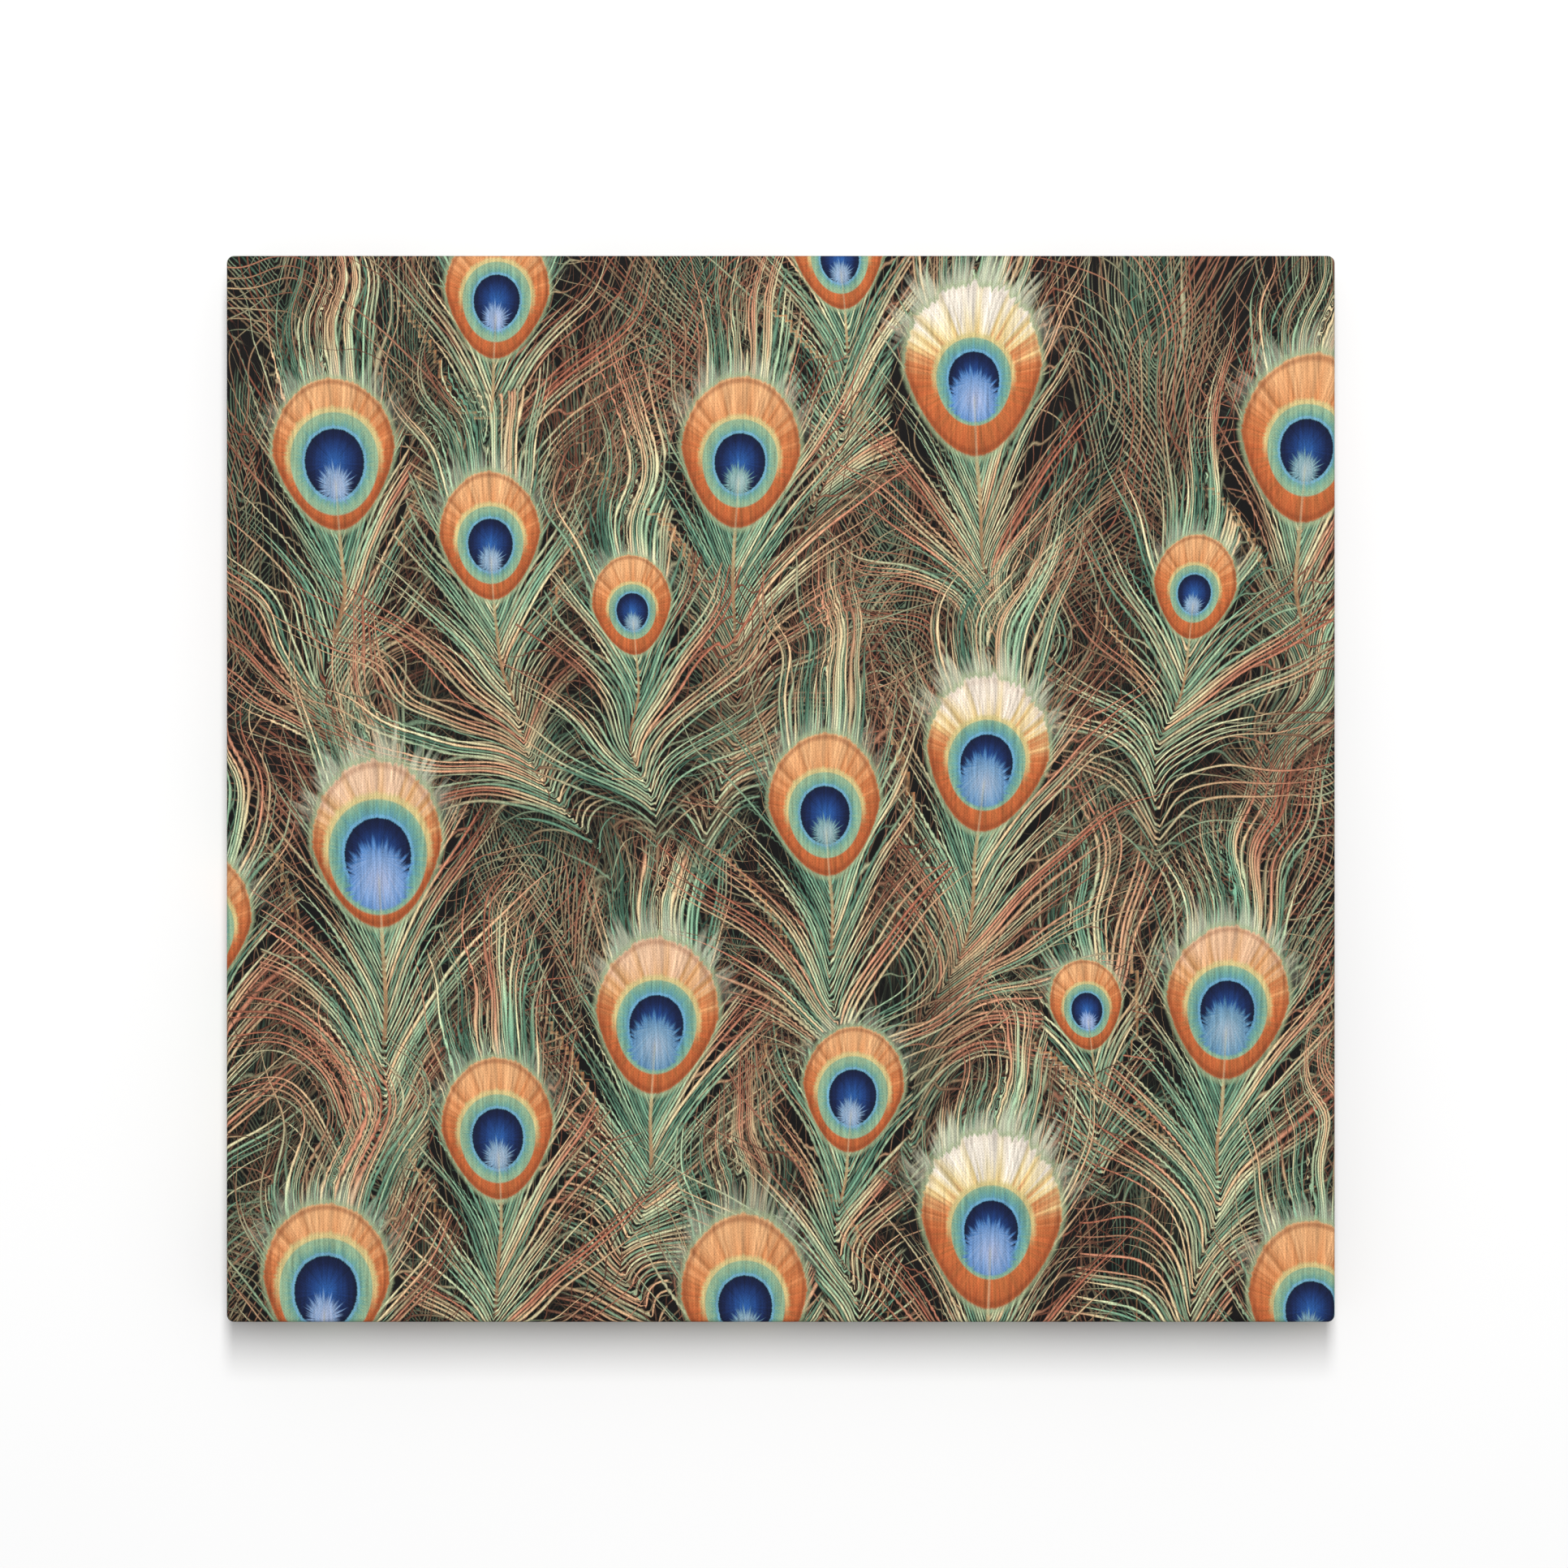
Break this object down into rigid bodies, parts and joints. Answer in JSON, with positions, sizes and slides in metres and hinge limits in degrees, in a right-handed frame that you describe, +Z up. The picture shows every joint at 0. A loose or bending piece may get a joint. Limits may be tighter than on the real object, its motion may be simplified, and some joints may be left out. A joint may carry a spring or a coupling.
{
  "type": "stretched canvas print",
  "caption": "Near-square wall panel: canvas printed all over with peacock feathers, wrapped round a mitred wooden stretcher frame, stapled at the back and hung on a sawtooth hanger.",
  "frame": {"origin": "the middle notch of the sawtooth hanger, where the wall nail carries the panel, in the mid plane of the hanger's strip", "axes": "+Z up, +Y from the face towards the wall, +X to the viewer's right along the panel's width"},
  "size_m": [0.305, 0.0222, 0.2935],
  "materials": {
    "printed_canvas": "matt woven canvas, printed with sage, tan, copper and near-black feather barbs and orange and blue eyes; raw white margins",
    "pine": "planed, unfinished pine with fine straight grain",
    "staple_steel": "galvanised wire, satin",
    "brassed_steel": "thin bright brass plating, slightly dulled"
  },
  "bodies": {
    "root": {"canvas": "printed_canvas", "stretcher_bar_top": "pine", "stretcher_bar_left": "pine", "stretcher_bar_bottom": "pine", "stretcher_bar_right": "pine", "staple_01": "staple_steel", "staple_02": "staple_steel", "staple_03": "staple_steel", "staple_04": "staple_steel", "staple_05": "staple_steel", "staple_06": "staple_steel", "staple_07": "staple_steel", "staple_08": "staple_steel", "staple_09": "staple_steel", "staple_10": "staple_steel", "staple_11": "staple_steel", "staple_12": "staple_steel", "staple_13": "staple_steel", "staple_14": "staple_steel", "staple_15": "staple_steel", "staple_16": "staple_steel", "staple_17": "staple_steel", "staple_18": "staple_steel", "staple_19": "staple_steel", "staple_20": "staple_steel", "staple_21": "staple_steel", "staple_22": "staple_steel", "staple_23": "staple_steel", "staple_24": "staple_steel", "staple_25": "staple_steel", "staple_26": "staple_steel", "staple_27": "staple_steel", "staple_28": "staple_steel", "sawtooth_hanger": "brassed_steel", "hanger_nail_left": "brassed_steel", "hanger_nail_right": "brassed_steel"}
  },
  "joints": []
}
